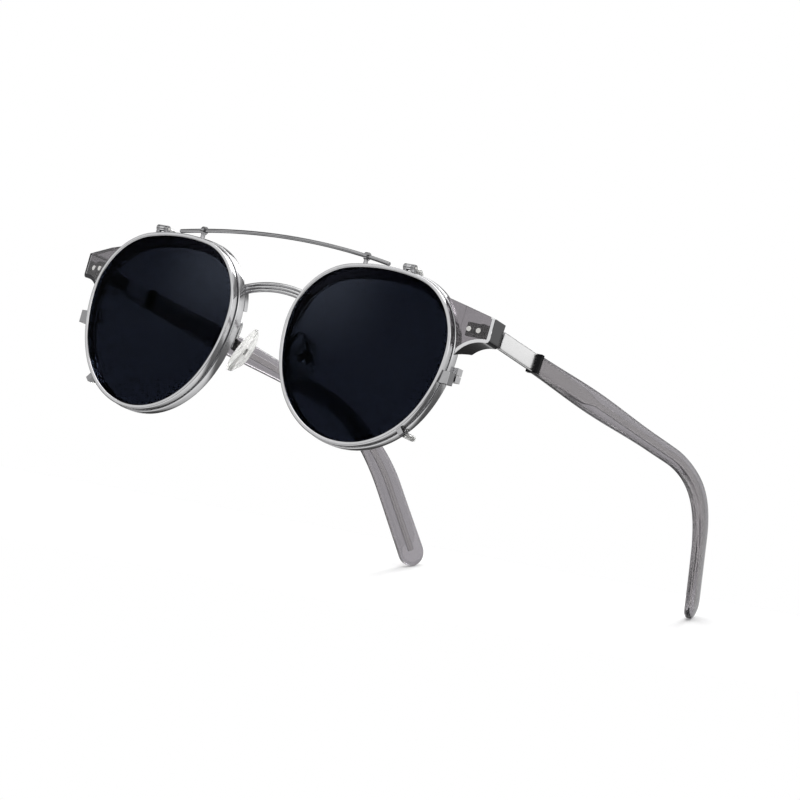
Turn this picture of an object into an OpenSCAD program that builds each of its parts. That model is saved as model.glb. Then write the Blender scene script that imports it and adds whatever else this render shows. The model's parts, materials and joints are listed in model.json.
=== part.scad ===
// Combination eyeglass frame with a pair of dark lenses on a hinged front that flips up.
// Left and right are the wearer's. The front faces -Y, the temples run to +Y, +Z is up.

/* [Clear lenses and rims] */
// Width of the opening for each clear lens
eye_w = 48; // [44:0.5:52]
// Height of the opening for each clear lens
eye_h = 41.6; // [38:0.1:46]
// Distance between the two lens openings over the nose
bridge_gap = 20.2; // [17:0.1:24]
// Radius of the upper corners of the eyewire's opening
corner_r = 17.5; // [15:0.5:19]
// Width of the acetate rim at the sides of the lens
rim_side = 0.5; // [0.45:0.05:0.8]
// Width of the acetate rim above the lens
rim_top = 2.5; // [1:0.1:3.5]
// Width of the acetate rim below the lens
rim_bottom = 0.75; // [0.6:0.05:1]
// Thickness of the metal eyewire round the acetate rim
wire_t = 0.9; // [0.7:0.05:1.2]
// Depth of the metal eyewire from front to back
wire_d = 2.3; // [2:0.1:3]
// Radius of the curve of every lens
lens_r = 200; // [150:5:400]
// Thickness of the clear lenses
clear_t = 1.3; // [1.1:0.1:1.5]
// How far a lens reaches into its rim
lens_seat = 0.15; // [0.1:0.01:0.16]
// Angle by which each side of the front wraps towards the face
wrap = 4.2; // [2:0.1:6]

/* [End pieces] */
// Reach of the end piece beyond the lens opening
end_reach = 9.7; // [8:0.1:12]
// Distance beyond the lens opening at which the end piece sweeps back
end_fold = 0.5; // [0:0.1:1.5]
// Extra angle by which the end piece sweeps back
end_sweep = 11.3; // [6:0.1:16]
// Height of the upper corner of the end piece above the centre of the rim
end_top = 15.35; // [14:0.05:17]
// Height of the lower corner of the end piece above the centre of the rim
end_low = 8.95; // [8:0.05:10]
// Height at which the upper edge of the end piece meets the rim
end_root = 18.5; // [17.5:0.1:19]
// Thickness of the acetate plate
plate_t = 3.4; // [2.8:0.1:4]
// Thickness of the metal band round the end piece
band_t = 0.9; // [0.6:0.05:1.2]
// Radius of the concave lower edge of the band
notch_r = 7.9; // [7:0.1:9]
// Radius of the shafts of the two rivets
rivet_r = 0.65; // [0.5:0.05:0.8]
// Distance between the rivets
rivet_pitch = 2.6; // [2.2:0.1:3]

/* [Temples] */
// Inset of the middle of the temple from the outer face of the end piece
temple_x = 0.046; // [0:0.001:0.2]
// Distance of the butt of the temple behind the face of the end piece
temple_y = 7.07152; // [6.5:0.00002:8]
// Height of the temple at the hinge above the lower corner of the end piece
temple_z = 2.45; // [2.3:0.05:3.5]
// Angle by which each temple closes in towards the back
toe_in = 4.35; // [2:0.1:7]
// Angle by which each temple drops towards the back
temple_drop = 4.6; // [3:0.1:6]
// Straight length in front of the ear bend
straight_l = 86.3; // [80:0.1:95]
// Radius of the ear bend
bend_r = 40.8; // [35:0.1:50]
// Angle of the ear bend
bend_a = 49.4; // [40:0.1:55]
// Straight length behind the ear bend
tip_l = 21.2; // [16:0.1:26]
// Slope by which the tip leans inwards
tip_lean = 0.23; // [0:0.01:0.3]
// Height of the flat metal bar
bar_h = 4.6; // [4:0.1:5]
// Thickness of the flat metal bar
bar_t = 1.3; // [1:0.1:1.6]
// Length of bare metal in front of the acetate
bar_l = 16; // [12:0.5:20]
// Length of the collar at the front end of the acetate
collar_l = 1.1; // [0.8:0.1:1.6]
// Greatest height of the acetate in front of the ear
sleeve_h = 6; // [5.4:0.1:6.6]
// Thickness of the acetate
sleeve_t = 3.6; // [3.2:0.1:4]
// Height of the acetate at its tip
tip_h = 7.2; // [6:0.1:8]

/* [Temple hinges] */
// Distance of the hinge axis inwards of the temple
hinge_in = 2.7; // [2.4:0.1:3.2]
// Distance of the hinge axis in front of the butt of the temple
hinge_fwd = 0.7; // [0.4:0.1:1]
// Radius of the barrels
barrel_r = 1.25; // [1.1:0.05:1.5]
// Height of each of the three barrels
barrel_h = 1.1; // [1:0.05:1.15]
// Radius of the hinge screw
screw_r = 0.6; // [0.5:0.05:0.7]
// Gap between the butt of the temple and the end piece
butt_gap = 0.3; // [0.2:0.05:0.4]

/* [Flip front] */
// Gap between the flip front and the eyewire
flip_gap = 0.35; // [0.3:0.05:0.6]
// Inset of the dark lens opening inside the acetate rim's outline
clip_inset = 0.35; // [0.2:0.05:0.5]
// Thickness of the flip rim, seen from the front
clip_t = 1; // [0.8:0.05:1.2]
// Depth of the flip rim from front to back
clip_d = 1.7; // [1.5:0.1:2]
// Thickness of the dark lenses
dark_t = 1; // [0.8:0.1:1.1]
// Distance of each flip hinge outwards of the centre of its lens
flip_x = 6.8; // [4:0.1:10]
// Radius of the flip hinge barrels
flip_r = 0.8; // [0.7:0.05:0.95]
// Radius of the flip hinge pin
flip_pin_r = 0.35; // [0.3:0.01:0.4]
// Length of the middle barrel of a flip hinge
flip_mid_l = 1.4; // [1.2:0.1:1.8]
// Length of each outer barrel of a flip hinge
flip_out_l = 1; // [0.8:0.1:1.3]
// Height of the flip axis above the opening of the eyewire
flip_z = 1.325; // [1.2:0.025:2]
// Radius of the top bar
bar_r = 0.52; // [0.45:0.01:0.6]
// Height of the middle of the top bar above the opening of the eyewire
bar_top = 3.875; // [3.4:0.025:5]
// Distance of each eyelet inwards of the centre of its lens
eyelet_x = 7.1; // [5:0.1:9]
// Distance of each end of the top bar outwards of the centre of its lens
bar_end_x = 0.5; // [0:0.1:2]
// Radius of the prongs and hooks
prong_r = 0.42; // [0.35:0.01:0.5]
// Radius of the clear tubes on the prongs and hooks
tube_r = 0.78; // [0.7:0.01:0.9]
// Direction of each lower prong from the centre of the bottom arc
prong_a = -46; // [-60:1:-35]

/* [Bridge and nose pads] */
// Height of the bridge's crown above the centre of the rim
bridge_z = 15; // [14:0.1:16.5]
// Rise of the bridge from its ends to its crown
bridge_rise = 1.9; // [1:0.1:3]
// Radius of each of the three beads along the bridge
bead_r = 0.47; // [0.4:0.01:0.55]
// Distance of the front of the bridge behind the lens plane
bridge_y = 2.5; // [2.2:0.1:3]
// Distance of each pad's centre from the middle of the glasses
pad_x = 9.4; // [8.8:0.1:10.5]
// Distance of each pad's centre behind the lens plane
pad_y = 8; // [7.6:0.1:9]
// Height of each pad's centre above the centre of the rim
pad_z = -2.7; // [-4:0.1:-1]
// Length of a pad
pad_l = 12.8; // [11:0.1:15]
// Width of a pad
pad_w = 7; // [6:0.1:8]
// Thickness of a pad
pad_t = 2.4; // [2:0.1:3]
// Radius of the pad arm's wire
arm_r = 0.45; // [0.4:0.01:0.55]

/* [Hidden] */
$fn = 64;

// Angles at which the arcs of the lens shape change
low_break = -30;
top_break = 79;
// Outlines: the acetate rim's outside, the clear lens opening and the flip lens opening
ring_w = eye_w + 2 * rim_side;
ring_h = eye_h + rim_top + rim_bottom;
eye_z = (rim_bottom - rim_top) / 2;
lens_x = (eye_w + bridge_gap) / 2;
flip_at = lens_x + flip_x;
eyelet_at = lens_x - eyelet_x;
bar_end_at = lens_x + bar_end_x;
flip_h = ring_h / 2 + flip_z;
bar_h_mid = ring_h / 2 + bar_top;
end_x = eye_w / 2 + end_reach;
fold_x = eye_w / 2 + end_fold;
ring = panto(ring_w, ring_h, corner_r);
eye = panto(eye_w, eye_h, corner_r - 1);
clip = panto(ring_w - 2 * clip_inset, ring_h - 2 * clip_inset, corner_r - clip_inset);
ring_low = ring[0];
// Depths behind the lens plane, along the axis of the lens
clip_front = -0.2;
clip_back = clip_front + clip_d;
front_y = clip_back + flip_gap;
wire_back = front_y + wire_d;
// Place of the temple's butt, found from the end piece
temple_at = [lens_x, 0, 0] + turn_z([fold_x, front_y, end_low + temple_z]
    + turn_z([end_x - fold_x - temple_x, temple_y, 0], end_sweep), wrap);
// Lengths along the temple
bend_l = bend_r * bend_a * PI / 180;
temple_l = straight_l + bend_l + tip_l;
tip_r = tip_h / 2;
// The glasses lean forward so that both rims and both temple tips touch the table
wire_low = ring_h / 2 + wire_t;
wire_y = front_y * cos(wrap);
tip_centre = to_front(temple_point(temple_l - tip_r));
tip_from_wire = [tip_centre[1] - wire_y, tip_centre[2] + wire_low];
lean = asin(tip_r / norm(tip_from_wire)) - atan2(tip_from_wire[1], tip_from_wire[0]);
rest_z = wire_low * cos(lean) - wire_y * sin(lean);
// The middle of the overall length lies over the origin
front_lean = [sin(wrap) * cos(lean), sin(lean)];
length_front = clip_front * cos(wrap) * cos(lean) - clip[2][0] * front_lean[0] - clip[2][1] * front_lean[1]
    - (clip[2][2] + clip_t) * norm(front_lean);
length_back = tip_centre[1] * cos(lean) - tip_centre[2] * sin(lean) + tip_r;
rest_y = -(length_front + length_back) / 2;
// Hinge clearances
pin_gap = 0.03;
barrel_gap = 0.06;
flip_y = 0.97;
bar_y = 0.5;
eyelet_t = 0.5;
eyelet_l = 1;

// Lens outline of given width and height from six tangent arcs: centre, radius, first and last angle
function panto(w, h, rc) =
    let (c1 = cos(low_break), s1 = sin(low_break), c3 = cos(top_break), s3 = sin(top_break))
    let (rt = (w / 2 - rc * (1 - c3)) / c3)
    let (k = h - rc * s3 - (1 - s3) * rt)
    let (rb = (k + s1 * (w / 2) / (1 - c1)) / (1 + s1 + s1 * c1 / (1 - c1)))
    let (rs = (w / 2 - c1 * rb) / (1 - c1))
    let (zb = rb - h / 2, xs = (rb - rs) * c1, zs = zb + (rb - rs) * s1)
    let (xc = xs + rs - rc, zt = zs + (rc - rt) * s3)
    [[0, zb, rb, -180 - low_break, low_break], [xs, zs, rs, low_break, 0],
     [xc, zs, rc, 0, top_break], [0, zt, rt, top_break, 180 - top_break],
     [-xc, zs, rc, 180 - top_break, 180], [-xs, zs, rs, 180, 180 - low_break]];

// Points along an outline of arcs, moved outwards by off
function arc_points(arcs, off = 0, step = 3) = [
    for (a = arcs)
        let (n = ceil((a[4] - a[3]) / step))
        for (i = [0 : n - 1])
            let (t = a[3] + (a[4] - a[3]) * i / n)
            [a[0] + (a[2] + off) * cos(t), a[1] + (a[2] + off) * sin(t)]];

// Blend between values given at stations along a length
function ease(t) = t * t * (3 - 2 * t);
function blend(s, table, i = 0) =
    s <= table[0][0] ? table[0][1] :
    i >= len(table) - 1 ? table[len(table) - 1][1] :
    s <= table[i + 1][0] ?
        table[i][1] + (table[i + 1][1] - table[i][1]) * ease((s - table[i][0]) / (table[i + 1][0] - table[i][0])) :
    blend(s, table, i + 1);

// Turns a point about X, Y or Z
function turn_x(p, a) = [p[0], p[1] * cos(a) - p[2] * sin(a), p[1] * sin(a) + p[2] * cos(a)];
function turn_z(p, a) = [p[0] * cos(a) - p[1] * sin(a), p[0] * sin(a) + p[1] * cos(a), p[2]];

// The temple's line in its own frame, by the length along it, and its downward angle there
function temple_angle(s) = s < straight_l ? 0 : min(bend_a, (s - straight_l) / bend_l * bend_a);
function temple_lean(s) = let (d = s - straight_l - bend_l / 2) tip_lean * (d + sqrt(d * d + 60) ) / 2;
function temple_point(s) =
    let (a = temple_angle(s), over = max(0, s - straight_l - bend_l))
    [-temple_lean(s),
     min(s, straight_l) + bend_r * sin(a) + over * cos(a),
     -bend_r * (1 - cos(a)) - over * sin(a)];
function to_front(p) = turn_z(turn_x(p, -temple_drop), toe_in) + temple_at;

// Frames: the whole part on its table, a lens, an end piece and a temple
module placed() {
    translate([0, rest_y, rest_z])
        rotate([lean, 0, 0])
            children();
}

module on_side(side) {
    placed()
        mirror([side == "right" ? 1 : 0, 0, 0])
            children();
}

module in_lens() {
    translate([lens_x, 0, 0])
        rotate([0, 0, wrap])
            children();
}

module in_end() {
    in_lens()
        translate([fold_x, front_y, 0])
            rotate([0, 0, end_sweep])
                children();
}

module in_temple() {
    translate(temple_at)
        rotate([0, 0, toe_in])
            rotate([-temple_drop, 0, 0])
                children();
}

// A flat outline, drawn in X and Z, made solid from depth y0 to depth y1
module slab(y0, y1) {
    translate([0, y1, 0])
        rotate([90, 0, 0])
            linear_extrude(y1 - y0)
                children();
}

// A band of the given width round an outline of arcs
module rim_band(arcs, w) {
    difference() {
        polygon(arc_points(arcs, w));
        polygon(arc_points(arcs));
    }
}

// Lens with a curved front and back, its edge at the given depth
module curved_lens(arcs, z, thick, edge_y, edge_r) {
    apex = edge_y - (lens_r - sqrt(lens_r * lens_r - edge_r * edge_r));
    intersection() {
        translate([0, 0, z])
            slab(apex - 1, edge_y + thick + 1)
                polygon(arc_points(arcs, lens_seat));
        translate([0, apex + lens_r, z])
            difference() {
                sphere(lens_r, $fn = 128);
                translate([0, thick, 0])
                    sphere(lens_r, $fn = 128);
            }
    }
}

// Tube or wire along a list of points, with a section that may change
function unit(v) = v / norm(v);
function ring_at(path, sections, i, n, ref) =
    let (last = len(path) - 1)
    let (along = unit(path[min(i + 1, last)] - path[max(i - 1, 0)]))
    let (side = unit(cross(along, ref)), up = cross(side, along))
    let (w = sections[i][0] / 2, h = sections[i][1] / 2, q = sections[i][2])
    [for (k = [0 : n - 1])
        let (a = 360 * k / n, c = cos(a), s = sin(a))
        path[i] + side * w * sign(c) * pow(abs(c), q) + up * h * sign(s) * pow(abs(s), q)];

module swept(path, sections, n = 16, ref = [0, 0, 1]) {
    rings = [for (i = [0 : len(path) - 1]) each ring_at(path, sections, i, n, ref)];
    last = len(path) - 1;
    walls = [for (i = [0 : last - 1], k = [0 : n - 1])
        let (a = i * n + k, b = i * n + (k + 1) % n)
        each [[a, b, b + n], [a, b + n, a + n]]];
    ends = [[for (k = [n - 1 : -1 : 0]) k], [for (k = [0 : n - 1]) last * n + k]];
    polyhedron(points = rings, faces = concat(walls, ends));
}

// Metal eyewire: a closed band round the acetate rim
module eyewire(side) {
    color("silver")
        on_side(side)
            in_lens()
                slab(front_y, wire_back)
                    rim_band(ring, wire_t);
}

// Acetate rim inside the eyewire, wide at the top, with a groove that is the lens's own edge
module acetate_rim(side) {
    color([0.42, 0.4, 0.43, 0.8])
        on_side(side)
            in_lens()
                difference() {
                    slab(front_y + 0.1, wire_back - 0.1)
                        difference() {
                            polygon(arc_points(ring));
                            translate([0, eye_z])
                                polygon(arc_points(eye));
                        }
                    clear_lens_solid();
                }
}

module clear_lens_solid() {
    intersection() {
        curved_lens(eye, eye_z, clear_t, front_y + wire_d / 2 - clear_t / 2, eye_w / 2 - 1);
        slab(-20, 40)
            polygon(arc_points(ring, -0.05));
    }
}

module clear_lens(side) {
    color([0.9, 0.93, 0.95, 0.25])
        on_side(side)
            in_lens()
                clear_lens_solid();
}

// End piece: its corner, its concave lower edge and the slope of its upper edge
corner_fillet = 1.1;
lip_l = 1.3;
notch_x = end_x - corner_fillet;
notch_z = end_low - notch_r;
function end_edge(x) = end_top + (end_x - x) * (end_root - end_top) / (end_x - end_root);

// The short lip of the band on the upper corner
module lip_outline() {
    x = end_x - lip_l;
    polygon([[x, end_edge(x)], [end_x, end_top], [end_x, end_top - band_t], [x, end_edge(x) - band_t / 2]]);
}

// Acetate part of the end piece, drawn in the plane of its front face
module plate_outline() {
    difference() {
        polygon([[0, end_root + 0.8], [end_root, end_root], [end_x - band_t, end_edge(end_x - band_t)],
            [end_x - band_t, end_low + band_t], [notch_x, end_low + band_t],
            [notch_x - notch_r - 3, notch_z], [0, notch_z]]);
        translate([notch_x, notch_z])
            circle(notch_r + band_t, $fn = 96);
        lip_outline();
    }
}

// The space of the eyewire and everything inside it, from depth y0 to y1
module lens_space(arcs, off, y0, y1) {
    in_lens()
        slab(y0, y1)
            polygon(arc_points(arcs, off));
}

// The end piece: its inner part in the plane of the rim, its outer part swept back
module plate_solid() {
    difference() {
        union() {
            in_lens()
                slab(front_y, wire_back)
                    intersection() {
                        plate_outline();
                        translate([0, -50])
                            square([fold_x, 100]);
                    }
            in_end()
                slab(0, plate_t)
                    translate([-fold_x, 0])
                        intersection() {
                            plate_outline();
                            translate([fold_x, -50])
                                square([50, 100]);
                        }
        }
        lens_space(ring, wire_t + 0.02, front_y - 1, wire_back + 4);
    }
}

// Places of the two rivets in the end piece's plane
rivet_z = end_low + 2.65;
rivet_s = [3, 3 + rivet_pitch];

module rivet_holes(r) {
    in_end()
        for (s = rivet_s)
            translate([s, 0, rivet_z])
                rotate([-90, 0, 0])
                    translate([0, 0, -1])
                        cylinder(r = r, h = plate_t + 4, $fn = 32);
}

// Acetate plate of the end piece, with holes for its rivets
module end_plate(side) {
    color([0.45, 0.43, 0.47, 0.7])
        on_side(side)
            difference() {
                plate_solid();
                rivet_holes(rivet_r);
            }
}

// Metal band round the lower edge and the outer end of the end piece
band_d = 8;

module ring_sector(r, w, x, y) {
    intersection() {
        difference() {
            circle(r, $fn = 96);
            circle(r - w, $fn = 96);
        }
        translate([min(x, 0), min(y, 0)])
            square([abs(x), abs(y)]);
    }
}

module band_outline() {
    translate([notch_x, notch_z])
        ring_sector(notch_r + band_t, band_t, -20, 20);
    translate([notch_x, end_low + corner_fillet])
        ring_sector(corner_fillet, band_t, 20, -20);
    translate([end_x - band_t, end_low + corner_fillet])
        square([band_t, end_top - band_t / 2 - end_low - corner_fillet]);
    lip_outline();
}

module end_band(side) {
    color("gainsboro")
        on_side(side)
            difference() {
                in_end()
                    slab(0, band_d)
                        translate([-fold_x, 0])
                            band_outline();
                in_temple()
                    translate([-20, -butt_gap, -20])
                        cube([40, 20, 40]);
                lens_space(ring, wire_t + 0.02, front_y - 1, wire_back + 8);
            }
}

// Two rivets through each end piece, headed in front
module rivets(side) {
    color("white")
        on_side(side)
            in_end()
                for (s = rivet_s)
                    translate([s, 0, rivet_z])
                        rotate([-90, 0, 0])
                            translate([0, 0, -0.12])
                                cylinder(r = rivet_r, h = plate_t + hinge_plate_t + 0.12, $fn = 32);
}

hinge_plate_t = 0.8;
hinge_plate_h = 3.5;
hinge_plate_z = end_low + 1.2;
hinge_up = 0.35;

// Hinge barrel at a height about the middle of the hinge, in the temple's frame
module barrel(z0, z1, r) {
    translate([-hinge_in, -hinge_fwd, hinge_up + z0])
        cylinder(r = r, h = z1 - z0, $fn = 48);
}

barrel_half = barrel_h / 2;
barrel_top = barrel_half + barrel_gap + barrel_h;

// Front half of the temple hinge: a plate on the acetate and two barrels
module front_hinge(side) {
    color("darkgray")
        on_side(side)
            difference() {
                union() {
                    in_end()
                        slab(plate_t, plate_t + hinge_plate_t)
                            translate([1.4, hinge_plate_z])
                                square([end_x - fold_x - 3.3, hinge_plate_h]);
                    in_temple()
                        for (m = [-1, 1])
                            translate([0, 0, m > 0 ? barrel_half + barrel_gap : -barrel_top])
                                union() {
                                    barrel(0, barrel_h, barrel_r);
                                    translate([-hinge_in - 0.6, -hinge_fwd - 4.4, hinge_up])
                                        cube([1.2, 4.4, barrel_h]);
                                }
                }
                in_temple()
                    barrel(-10, 10, screw_r);
                in_end()
                    slab(-1, plate_t)
                        square([20, 30]);
                rivet_holes(rivet_r);
            }
}

// Screw that is the hinge's pin, with a slotted head
module hinge_screw(side) {
    color("gainsboro")
        on_side(side)
            in_temple()
                difference() {
                    union() {
                        barrel(-barrel_top, barrel_top, screw_r);
                        barrel(barrel_top, barrel_top + 0.5, 1);
                    }
                    translate([-hinge_in - 2, -hinge_fwd - 0.12, hinge_up + barrel_top + 0.25])
                        cube([4, 0.24, 1]);
                }
}

// Metal core of the temple: a flat bar, a tapering blade and a wire inside the acetate
core_end = temple_l - 4;
core_heights = [[bar_l, bar_h], [bar_l + 3, bar_h - 1.2], [bar_l + 24, bar_h - 1.5], [bar_l + 31, 1.5]];
core_widths = [[bar_l, bar_t], [bar_l + 3, 1.1]];
core_steps = [0, bar_l / 2, bar_l, for (i = [1 : 42]) bar_l + (core_end - bar_l) * i / 42];

module core_solid() {
    swept([for (s = core_steps) temple_point(s)],
        [for (s = core_steps) [blend(s, core_widths), blend(s, core_heights), 0.35]], 12);
}

module temple_core(side) {
    color("gainsboro")
        on_side(side)
            in_temple()
                core_solid();
}

// Temple half of the hinge: a barrel and a leaf on the inner face of the bar
leaf_t = 0.7;
leaf_l = 7;
leaf_x = -bar_t / 2 - temple_lean(leaf_l) - 0.01;

module temple_hinge(side) {
    color("darkgray")
        on_side(side)
            in_temple()
                difference() {
                    union() {
                        barrel(-barrel_half, barrel_half, barrel_r);
                        translate([-hinge_in, -0.1, hinge_up - barrel_half])
                            cube([hinge_in + leaf_x, 1.1, barrel_h]);
                        translate([leaf_x - leaf_t, 0, -bar_h / 2 + 0.6])
                            cube([leaf_t, leaf_l, bar_h - 1.2]);
                    }
                    barrel(-10, 10, screw_r + pin_gap);
                }
}

// Acetate of the temple, from the collar to the rounded tip
sleeve_start = bar_l + collar_l;
sleeve_heights = [[bar_l, 4.9], [bar_l + 29, sleeve_h], [straight_l - 10, sleeve_h - 1.4],
    [straight_l + 8, sleeve_h - 1.6], [straight_l + bend_l, tip_h - 0.4], [temple_l, tip_h]];
sleeve_widths = [[bar_l, sleeve_t - 0.2], [bar_l + 29, sleeve_t], [straight_l, sleeve_t - 0.6],
    [temple_l, sleeve_t - 1]];
function tip_round(s) = s < temple_l - tip_r ? 1 : sqrt(max(0.02, 1 - pow((s - temple_l + tip_r) / tip_r, 2)));
sleeve_steps = [sleeve_start, for (i = [1 : 34]) sleeve_start + (temple_l - tip_r - sleeve_start) * i / 34,
    for (a = [18 : 18 : 90]) temple_l - tip_r + tip_r * sin(a)];

module temple_sleeve(side) {
    color([0.5, 0.48, 0.52, 0.6])
        on_side(side)
            in_temple()
                difference() {
                    swept([for (s = sleeve_steps) temple_point(s)],
                        [for (s = sleeve_steps)
                            let (f = tip_round(s))
                            [blend(s, sleeve_widths) * (0.4 + 0.6 * f), blend(s, sleeve_heights) * f, 0.55]]);
                    core_solid();
                }
}

// Dark collar at the front end of the acetate
module temple_collar(side) {
    color([0.1, 0.1, 0.12])
        on_side(side)
            in_temple()
                difference() {
                    slab(bar_l, bar_l + collar_l)
                        square([sleeve_t - 0.2, 4.9], center = true);
                    core_solid();
                }
}

// Bridge: three beads side by side along an arch, with a foot on the back of each eyewire
bridge_half = bridge_gap / 2 + 1.5;
bridge_r = (bridge_half * bridge_half + bridge_rise * bridge_rise) / (2 * bridge_rise);
bridge_arc = asin(bridge_half / bridge_r);
bridge_step = 1.75 * bead_r;
foot_l = 6.6;
foot_t = 1.2;

module bridge_beads() {
    for (i = [-1, 0, 1])
        translate([bridge_r - bead_r - bridge_step + i * bridge_step, 0])
            circle(bead_r, $fn = 32);
    translate([bridge_r - bead_r - 2 * bridge_step, -0.8 * bead_r])
        square([2 * bridge_step, 0.8 * bead_r]);
}

module bridge() {
    color("silver")
        placed()
            difference() {
                union() {
                    translate([0, bridge_y + bead_r, bridge_z - bridge_r])
                        rotate([90, 0, 0])
                            rotate([0, 0, 90 - bridge_arc])
                                rotate_extrude(angle = 2 * bridge_arc, $fn = 180)
                                    bridge_beads();
                    for (m = [0, 1])
                        mirror([m, 0, 0])
                            in_lens()
                                slab(wire_back, wire_back + foot_t)
                                    intersection() {
                                        difference() {
                                            polygon(arc_points(ring, wire_t));
                                            polygon(arc_points(ring, -rim_side));
                                        }
                                        translate([-30, bridge_z - bridge_rise - foot_l])
                                            square([30 - ring_w / 4, foot_l]);
                                    }
                }
                for (m = [0, 1])
                    mirror([m, 0, 0])
                        lens_space(ring, wire_t + 0.02, front_y - 5, wire_back);
            }
}

// Frame of a nose pad: +X points away from the nose, +Z runs up the pad
pad_turn = [-14.6, -18.7, -24.9];
pad_out = [cos(pad_turn[1]) * cos(pad_turn[2]), cos(pad_turn[1]) * sin(pad_turn[2]), -sin(pad_turn[1])];
pad_pin_x = pad_t / 2 + 1.05;
pad_pin_r = 0.4;
lug_w = 1.2;
lug_r = 0.8;
box_w = 2.2;
box_h = 2.4;
box_back = pad_pin_x + 1.1;

module in_pad() {
    translate([pad_x, pad_y, pad_z])
        rotate(pad_turn)
            children();
}

// Nose pad arm: a loop of wire from the back of the eyewire up and round to the pad box
arm_x = bridge_gap / 2 - 0.6;
arm_y0 = wire_back - (lens_x - arm_x) * sin(wrap) - 0.05;
arm_end = [pad_x, pad_y, pad_z] + pad_out * (box_back + 0.5);
arm_start = [arm_x, arm_y0, -3];
arm_rise = 5.8;
arm_steps = [for (i = [0 : 20]) i / 20];
arm_path = [for (t = arm_steps)
    [arm_start[0] + (arm_end[0] - arm_start[0]) * t * t,
     arm_start[1] + (arm_end[1] - arm_start[1]) * (1 - cos(180 * t)) / 2,
     arm_start[2] + (arm_end[2] - arm_start[2]) * t + arm_rise * sin(180 * t)]];

module pad_arm(side) {
    color("gainsboro")
        on_side(side)
            difference() {
                swept(arm_path, [for (t = arm_steps) [2 * arm_r, 2 * arm_r, 1]], 10, [1, 0, 0]);
                in_lens()
                    translate([-40, wire_back - 10, -20])
                        cube([40, 10, 40]);
                in_pad()
                    pad_box_block();
            }
}

module pad_box_block() {
    translate([pad_t / 2 + 0.4, -box_w / 2, -box_h / 2])
        cube([box_back + 0.5 - pad_t / 2 - 0.4, box_w, box_h]);
}

// Metal box at the end of the arm, with two cheeks for the pin
module pad_box(side) {
    color([0.35, 0.32, 0.3])
        on_side(side)
            in_pad()
                difference() {
                    pad_box_block();
                    translate([pad_t / 2, -lug_w / 2 - 0.05, -box_h])
                        cube([box_back - pad_t / 2, lug_w + 0.1, 2 * box_h]);
                    pad_pin_solid(pad_pin_r, 5);
                }
}

module pad_pin_solid(r, l) {
    translate([pad_pin_x, -l / 2, 0])
        rotate([-90, 0, 0])
            cylinder(r = r, h = l, $fn = 32);
}

module pad_pin(side) {
    color("gainsboro")
        on_side(side)
            in_pad()
                pad_pin_solid(pad_pin_r, box_w + 0.4);
}

// Clear pad: an oval with a domed face, and a lug on its back that turns on the pin
module nose_pad(side) {
    color([0.92, 0.92, 0.9, 0.5])
        on_side(side)
            in_pad()
                difference() {
                    union() {
                        intersection() {
                            rotate([0, -90, 0])
                                translate([0, 0, -pad_t / 2])
                                    linear_extrude(pad_t)
                                        polygon([for (a = [0 : 7.5 : 352.5])
                                            [pad_l / 2 * cos(a), pad_w / 2 * sin(a) * (1 - 0.12 * cos(a))]]);
                            translate([12 - pad_t / 2, 0, 0])
                                sphere(12, $fn = 96);
                        }
                        translate([pad_t / 2 - 0.1, -lug_w / 2, -lug_r])
                            cube([pad_pin_x - pad_t / 2 + 0.1, lug_w, 2 * lug_r]);
                        pad_pin_solid(lug_r, lug_w);
                    }
                    pad_pin_solid(pad_pin_r + pin_gap, 5);
                }
}

// Closing block behind the eyewire: two halves with a gap between them, and the screw that draws them shut
lock_x = ring_w / 2 - 0.1;
lock_w = 2.1;
lock_h = 1.7;
lock_gap = 0.2;
lock_screw_r = 0.45;

module lock_screw_solid() {
    translate([lock_x + lock_w / 2 + 0.3, wire_back + lock_w / 2, -lock_h - lock_gap / 2]) {
        cylinder(r = lock_screw_r, h = 2 * lock_h + lock_gap, $fn = 32);
        cylinder(r = 0.75, h = 0.6, $fn = 32);
    }
}

module rim_lock(side) {
    color("darkgray")
        on_side(side)
            in_lens()
                difference() {
                    for (m = [-1, 1])
                        translate([lock_x, wire_back, m > 0 ? lock_gap / 2 : -lock_gap / 2 - lock_h])
                            cube([lock_w, lock_w, lock_h]);
                    lock_screw_solid();
                }
}

module rim_screw(side) {
    color("gainsboro")
        on_side(side)
            in_lens()
                difference() {
                    lock_screw_solid();
                    translate([lock_x, wire_back + lock_w / 2 - 0.1, -lock_h - lock_gap / 2 - 1])
                        cube([3, 0.2, 1.25]);
                }
}

// Flip rim round a dark lens
module flip_rim_solid() {
    in_lens()
        difference() {
            slab(clip_front, clip_back)
                rim_band(clip, clip_t);
            dark_lens_solid();
        }
}

module flip_rim(side) {
    color("silver")
        on_side(side)
            flip_rim_solid();
}

module dark_lens_solid() {
    curved_lens(clip, 0, dark_t, clip_front + clip_d / 2 - dark_t / 2, ring_w / 2 - 0.3);
}

module dark_lens(side) {
    color([0.06, 0.07, 0.1, 0.9])
        on_side(side)
            in_lens()
                dark_lens_solid();
}

// Height of the flip rim's top at a distance from the middle of the glasses
function clip_top(x) = let (a = clip[3], u = x - lens_x)
    a[1] + sqrt(pow(a[2] + clip_t, 2) - u * u);

// Arched bar that joins the two flip rims, through the eyelets to an end on each rim
bar_end_z = clip_top(bar_end_at) + bar_r + 0.03;
arch_rise = bar_h_mid - bar_end_z;
arch_r = (bar_end_at * bar_end_at + arch_rise * arch_rise) / (2 * arch_rise);
arch_a = asin(bar_end_at / arch_r);
eyelet_z = bar_h_mid - arch_r + sqrt(arch_r * arch_r - eyelet_at * eyelet_at);

module top_bar_solid() {
    translate([0, bar_y, bar_h_mid - arch_r])
        rotate([90, 0, 0])
            rotate([0, 0, 90 - arch_a])
                rotate_extrude(angle = 2 * arch_a, $fn = 360)
                    translate([arch_r, 0])
                        circle(bar_r, $fn = 32);
}

module top_bar() {
    color("gainsboro")
        placed()
            top_bar_solid();
}

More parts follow.
